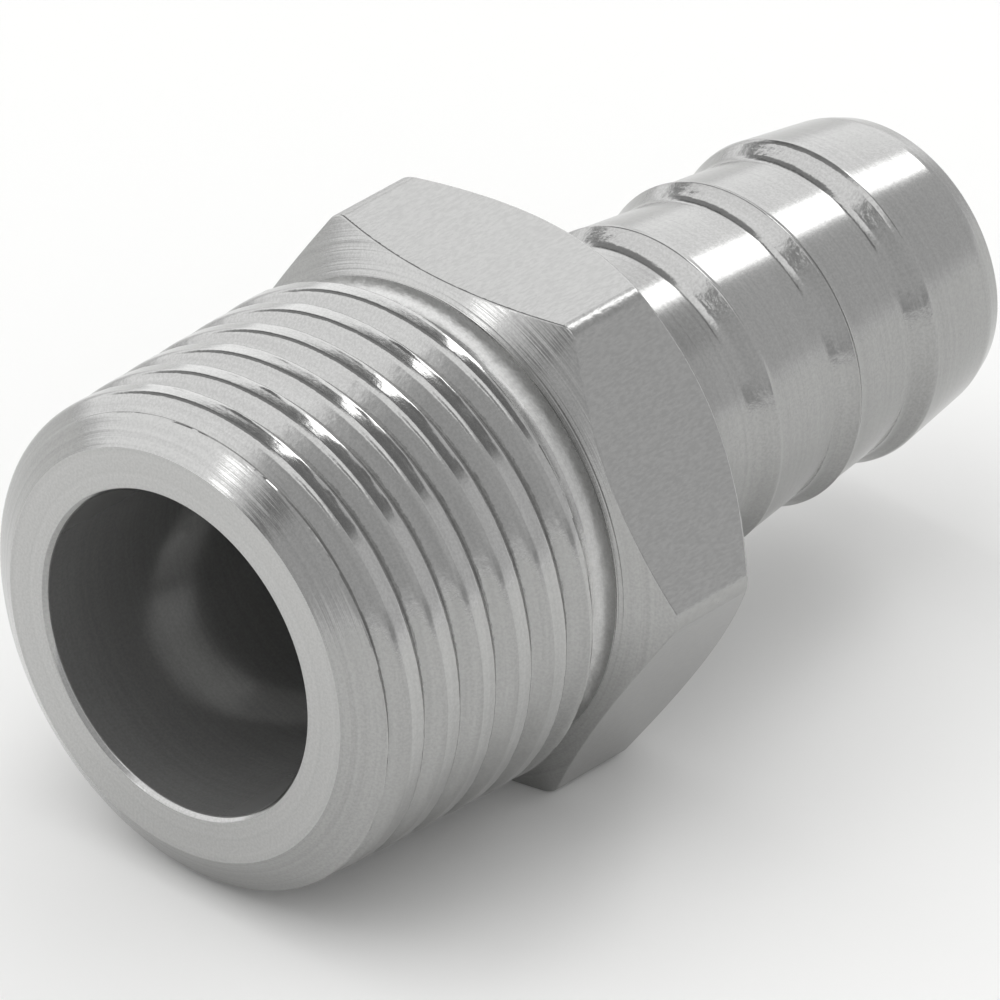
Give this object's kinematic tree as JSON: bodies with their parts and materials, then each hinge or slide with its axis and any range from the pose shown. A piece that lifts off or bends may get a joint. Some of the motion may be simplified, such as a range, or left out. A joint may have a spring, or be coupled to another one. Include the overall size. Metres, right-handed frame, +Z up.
{
  "type": "hose barb tail",
  "caption": "One-piece turned hose tail: taper pipe thread, chamfered spanner hexagon and ratchet barbs for a push-on hose, with a stepped waterway through it.",
  "frame": {"origin": "on the waterway's axis, at the mouth of the counterbore in the thread end face", "axes": "+X along the axis from the thread end to the hose end; +Z up, square to the spanner flat opposite the one it lies on"},
  "size_m": [0.0192, 0.0112, 0.0098],
  "materials": {
    "nickel_plated_brass": "turned brass under thin bright nickel plate, so it looks silver"
  },
  "bodies": {
    "root": {"hose_tail": "nickel_plated_brass"}
  },
  "joints": []
}
